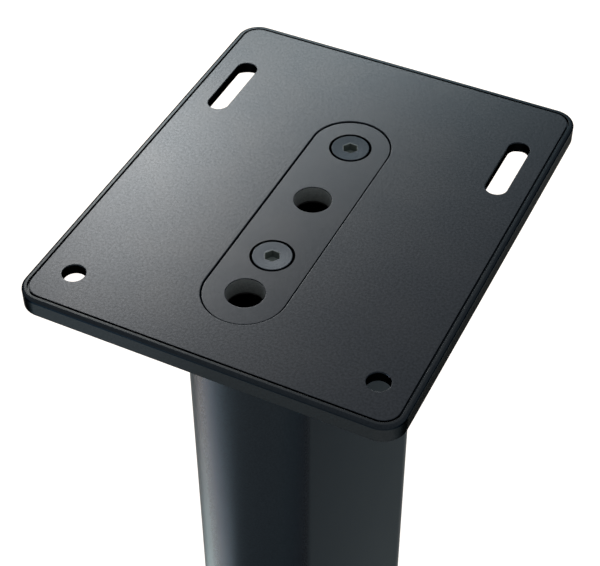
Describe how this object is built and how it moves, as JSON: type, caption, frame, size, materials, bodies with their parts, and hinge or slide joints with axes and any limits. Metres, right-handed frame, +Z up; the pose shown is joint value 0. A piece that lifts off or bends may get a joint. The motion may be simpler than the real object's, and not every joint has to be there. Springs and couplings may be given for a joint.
{
  "type": "speaker stand",
  "caption": "Floor stand for a bookshelf speaker: flat inlaid top plate, hollow oblong column with sand chambers and a cable way, weighted base on levelling spikes.",
  "frame": {"origin": "on the floor under the middle of the column and plates", "axes": "+Z up, the stand's front towards -Y, +X to the right seen from the front"},
  "size_m": [0.25, 0.3, 0.61],
  "materials": {
    "plate_coat": "black satin powder coat on aluminium",
    "inlay_coat": "charcoal fine-grained powder coat on aluminium",
    "insert_coat": "charcoal fine-grained powder coat on aluminium",
    "column_coat": "black satin powder coat on extruded aluminium",
    "base_coat": "black satin powder coat on steel",
    "screw_dark": "dark phosphated steel, turned face",
    "screw_bright": "dark nickelled steel, turned face",
    "bush_steel": "zinc plated",
    "spike_steel": "turned steel, nickelled",
    "nut_steel": "zinc plated",
    "shoe_metal": "turned and anodised, graphite",
    "rubber": "matt black rubber",
    "pad": "dense matt pad"
  },
  "bodies": {
    "stand": {"top_plate": "plate_coat", "top_inlay": "inlay_coat", "head_insert": "insert_coat", "insert_screw_back": "screw_dark", "insert_screw_front": "screw_bright", "head_gasket": "rubber", "column": "column_coat", "upper_grommet": "rubber", "lower_grommet": "rubber", "base_gasket": "rubber", "base_plate": "base_coat", "base_screw_back": "screw_dark", "base_screw_front": "screw_dark", "bush_fl": "bush_steel", "bush_fr": "bush_steel", "bush_bl": "bush_steel", "bush_br": "bush_steel"},
    "shoe_fl": {"shoe_fl": "shoe_metal", "shoe_pad_fl": "pad"},
    "spike_fl": {"spike_fl": "spike_steel"},
    "lock_nut_fl": {"lock_nut_fl": "nut_steel"},
    "shoe_fr": {"shoe_fr": "shoe_metal", "shoe_pad_fr": "pad"},
    "spike_fr": {"spike_fr": "spike_steel"},
    "lock_nut_fr": {"lock_nut_fr": "nut_steel"},
    "shoe_bl": {"shoe_bl": "shoe_metal", "shoe_pad_bl": "pad"},
    "spike_bl": {"spike_bl": "spike_steel"},
    "lock_nut_bl": {"lock_nut_bl": "nut_steel"},
    "shoe_br": {"shoe_br": "shoe_metal", "shoe_pad_br": "pad"},
    "spike_br": {"spike_br": "spike_steel"},
    "lock_nut_br": {"lock_nut_br": "nut_steel"}
  },
  "joints": [
    {"name": "foot_height_fl", "type": "slide", "parent": "stand", "child": "shoe_fl", "axis": [0, 0, -1], "range_m": [0, 0.005]},
    {"name": "spike_turn_fl", "type": "hinge", "parent": "shoe_fl", "child": "spike_fl", "pos_m": [-0.101, -0.126, 0.02], "axis": [0, 0, -1], "range_deg": [0, 1440]},
    {"name": "lock_nut_turn_fl", "type": "hinge", "parent": "stand", "child": "lock_nut_fl", "pos_m": [-0.101, -0.126, 0.02], "axis": [0, 0, -1], "range_deg": [0, 90]},
    {"name": "foot_height_fr", "type": "slide", "parent": "stand", "child": "shoe_fr", "axis": [0, 0, -1], "range_m": [0, 0.005]},
    {"name": "spike_turn_fr", "type": "hinge", "parent": "shoe_fr", "child": "spike_fr", "pos_m": [0.101, -0.126, 0.02], "axis": [0, 0, -1], "range_deg": [0, 1440]},
    {"name": "lock_nut_turn_fr", "type": "hinge", "parent": "stand", "child": "lock_nut_fr", "pos_m": [0.101, -0.126, 0.02], "axis": [0, 0, -1], "range_deg": [0, 90]},
    {"name": "foot_height_bl", "type": "slide", "parent": "stand", "child": "shoe_bl", "axis": [0, 0, -1], "range_m": [0, 0.005]},
    {"name": "spike_turn_bl", "type": "hinge", "parent": "shoe_bl", "child": "spike_bl", "pos_m": [-0.101, 0.126, 0.02], "axis": [0, 0, -1], "range_deg": [0, 1440]},
    {"name": "lock_nut_turn_bl", "type": "hinge", "parent": "stand", "child": "lock_nut_bl", "pos_m": [-0.101, 0.126, 0.02], "axis": [0, 0, -1], "range_deg": [0, 90]},
    {"name": "foot_height_br", "type": "slide", "parent": "stand", "child": "shoe_br", "axis": [0, 0, -1], "range_m": [0, 0.005]},
    {"name": "spike_turn_br", "type": "hinge", "parent": "shoe_br", "child": "spike_br", "pos_m": [0.101, 0.126, 0.02], "axis": [0, 0, -1], "range_deg": [0, 1440]},
    {"name": "lock_nut_turn_br", "type": "hinge", "parent": "stand", "child": "lock_nut_br", "pos_m": [0.101, 0.126, 0.02], "axis": [0, 0, -1], "range_deg": [0, 90]}
  ],
  "couplings": [
    {"joint": "spike_turn_fl", "follows": "foot_height_fl", "rad_per_m": 5026.5},
    {"joint": "spike_turn_fr", "follows": "foot_height_fr", "rad_per_m": 5026.5},
    {"joint": "spike_turn_bl", "follows": "foot_height_bl", "rad_per_m": 5026.5},
    {"joint": "spike_turn_br", "follows": "foot_height_br", "rad_per_m": 5026.5}
  ]
}
